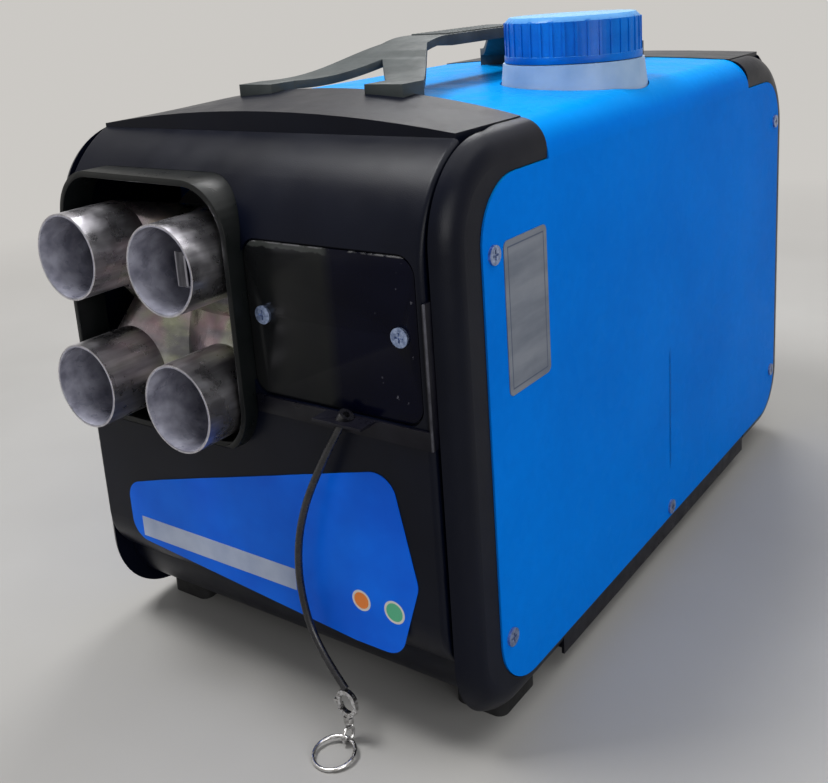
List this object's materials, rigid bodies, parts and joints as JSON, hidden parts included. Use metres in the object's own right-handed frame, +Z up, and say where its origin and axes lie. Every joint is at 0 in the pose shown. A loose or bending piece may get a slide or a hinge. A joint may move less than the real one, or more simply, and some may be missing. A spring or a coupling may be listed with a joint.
{
  "type": "diesel air heater",
  "caption": "Portable diesel air heater in a boxed case: carry handle, screw-capped fuel tank, grouped round warm air outlets in a hood, blank control cover, hand cord with a swivel hook.",
  "frame": {"origin": "on the floor under the middle of the heater, measured without the hand cord and its hook", "axes": "+Z up, -Y towards the warm air outlets, +X towards the fuel tank side"},
  "size_m": [0.2424, 0.4659, 0.31],
  "materials": {
    "black_plastic": "satin moulded",
    "grey_plastic": "matt, cross-ribbed grip",
    "blue_sheet": "glossy paint",
    "black_steel": "satin paint",
    "aluminium": "brushed",
    "gloss_black": "polished",
    "blue_label": "printed film, blank",
    "white_print": "printed film, blank",
    "silver_plate": "satin",
    "zinc": "zinc plated",
    "white_plastic": "natural translucent",
    "brass": "machined",
    "blue_plastic": "moulded",
    "rubber": "matt",
    "steel": "plain",
    "board_green": "coated",
    "clear_plastic": "clear",
    "fuel_hose": "satin",
    "cord": "round cord",
    "chrome": "bright"
  },
  "bodies": {
    "case": {"front_cap": "black_plastic", "rear_cap": "black_plastic", "front_panel": "black_plastic", "rear_panel": "black_plastic", "case_sheet": "blue_sheet", "base_plate": "black_steel", "outlet_hood": "black_plastic", "outlet_manifold": "aluminium", "control_plate": "gloss_black", "plate_bracket": "black_steel", "front_label": "blue_label", "label_strip": "white_print", "rating_plate": "silver_plate", "handle": "grey_plastic", "fuel_tank": "white_plastic", "tank_nipple": "brass", "duct_upper": "black_plastic", "duct_lower": "black_plastic", "heat_exchanger": "aluminium", "burner": "steel", "glow_plug": "steel", "heat_sensor": "brass", "wheel_housing": "aluminium", "blower_motor": "steel", "motor_carrier": "black_plastic", "control_board": "board_green", "exhaust_pipe": "steel", "intake_pipe": "black_plastic", "pipe_clamps": "zinc", "core_stands": "black_steel", "intake_grille": "black_plastic", "fuel_filter": "clear_plastic", "line_clips": "rubber", "pump_body": "steel", "fuel_nipple": "steel", "fuel_hoses": "fuel_hose", "power_supply": "silver_plate", "wiring_loom": "rubber", "loom_grommet": "rubber", "mains_harness": "rubber", "mains_inlet": "gloss_black", "switch_frame": "gloss_black", "feet": "rubber", "case_screws": "zinc", "side_screws": "zinc", "plate_screws": "zinc", "cord_gland": "rubber", "hand_cord": "cord", "hook_body": "chrome"},
    "cap_lift": {"cap_seal": "rubber"},
    "cap": {"fuel_cap": "blue_plastic"},
    "rotor": {"motor_shaft": "steel", "combustion_wheel": "aluminium", "air_fan": "black_plastic"},
    "plunger": {"pump_plunger": "steel"},
    "rocker": {"rocker": "gloss_black"},
    "gate": {"hook_gate": "chrome"},
    "swivel": {"hook_swivel": "chrome", "link_ring": "chrome"},
    "key_ring": {"split_ring": "chrome"}
  },
  "joints": [
    {"name": "cap_lift", "type": "slide", "parent": "case", "child": "cap_lift", "axis": [0, 0, 1], "range_m": [0, 0.06]},
    {"name": "cap_turn", "type": "hinge", "parent": "cap_lift", "child": "cap", "pos_m": [0.07, 0.0015, 0.298], "axis": [0, 0, 1], "range_deg": [0, 720]},
    {"name": "fan_spin", "type": "hinge", "parent": "case", "child": "rotor", "pos_m": [-0.0465, 0.1, 0.1855], "axis": [0, 1, 0], "continuous": true},
    {"name": "pump_stroke", "type": "slide", "parent": "case", "child": "plunger", "axis": [0, 1, 0], "range_m": [0, 0.002], "stiffness_N_per_m": 200},
    {"name": "switch_rock", "type": "hinge", "parent": "case", "child": "rocker", "pos_m": [0.066, 0.2205, 0.132], "axis": [1, 0, 0], "range_deg": [-10, 0]},
    {"name": "gate_open", "type": "hinge", "parent": "case", "child": "gate", "pos_m": [0.055, -0.2155, 0.0176], "axis": [0, 1, 0], "range_deg": [0, 25], "stiffness_Nm_per_rad": 0.003},
    {"name": "hook_swivel", "type": "hinge", "parent": "case", "child": "swivel", "pos_m": [0.0593, -0.2155, 0.0117], "axis": [0, 0, 1], "continuous": true},
    {"name": "key_ring_lift", "type": "hinge", "parent": "swivel", "child": "key_ring", "pos_m": [0.0593, -0.2177, 0.0034], "axis": [-1, 0, 0], "range_deg": [0, 55]}
  ]
}
